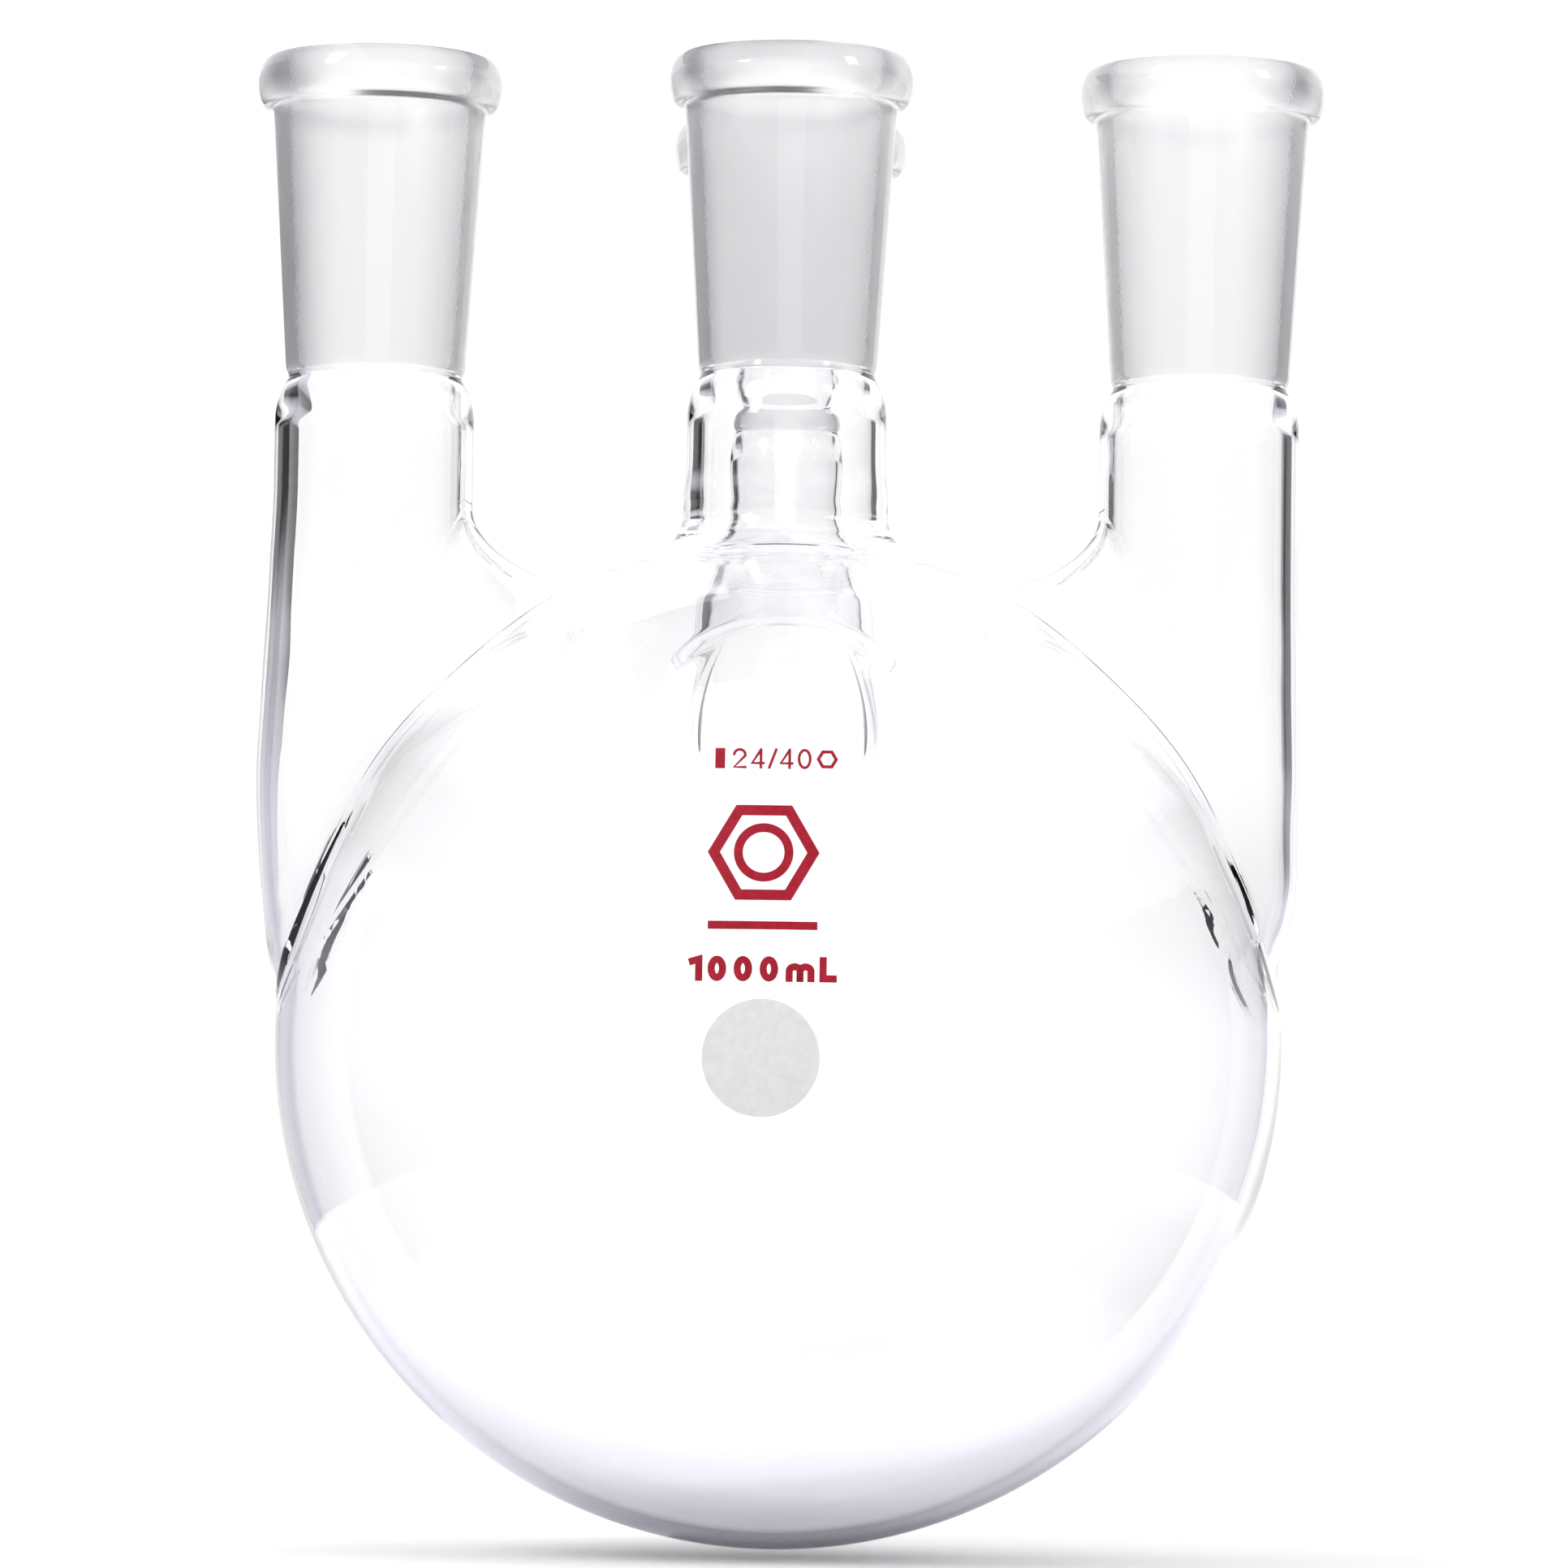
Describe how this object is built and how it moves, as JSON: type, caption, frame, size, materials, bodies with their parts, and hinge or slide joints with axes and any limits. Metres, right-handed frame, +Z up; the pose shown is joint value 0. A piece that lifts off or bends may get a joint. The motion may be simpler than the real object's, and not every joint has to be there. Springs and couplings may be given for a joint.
{
  "type": "round bottom flask",
  "caption": "Spherical borosilicate flask with a centre neck and three outer necks standing upright, each with a ground socket and a rolled bead, and enamel marks.",
  "frame": {"origin": "lowest point of the bulb, on the axis of the bulb and the centre neck", "axes": "+Z up along the centre neck; -Y towards the printed side; the fourth neck stands at +Y"},
  "size_m": [0.14, 0.1356, 0.1952],
  "materials": {
    "clear_glass": "clear, fire-polished borosilicate",
    "neck_glass": "clear borosilicate, with the inside of each socket ground to a fine white frost",
    "white_enamel": "fired pale grey enamel, satin",
    "red_enamel": "fired dark red enamel, satin"
  },
  "bodies": {
    "root": {"bulb": "clear_glass", "centre_neck": "neck_glass", "right_neck": "neck_glass", "rear_neck": "neck_glass", "left_neck": "neck_glass", "marking_spot": "white_enamel", "capacity_print": "red_enamel", "name_bar_print": "red_enamel", "emblem_print": "red_enamel", "joint_size_print": "red_enamel"}
  },
  "joints": []
}
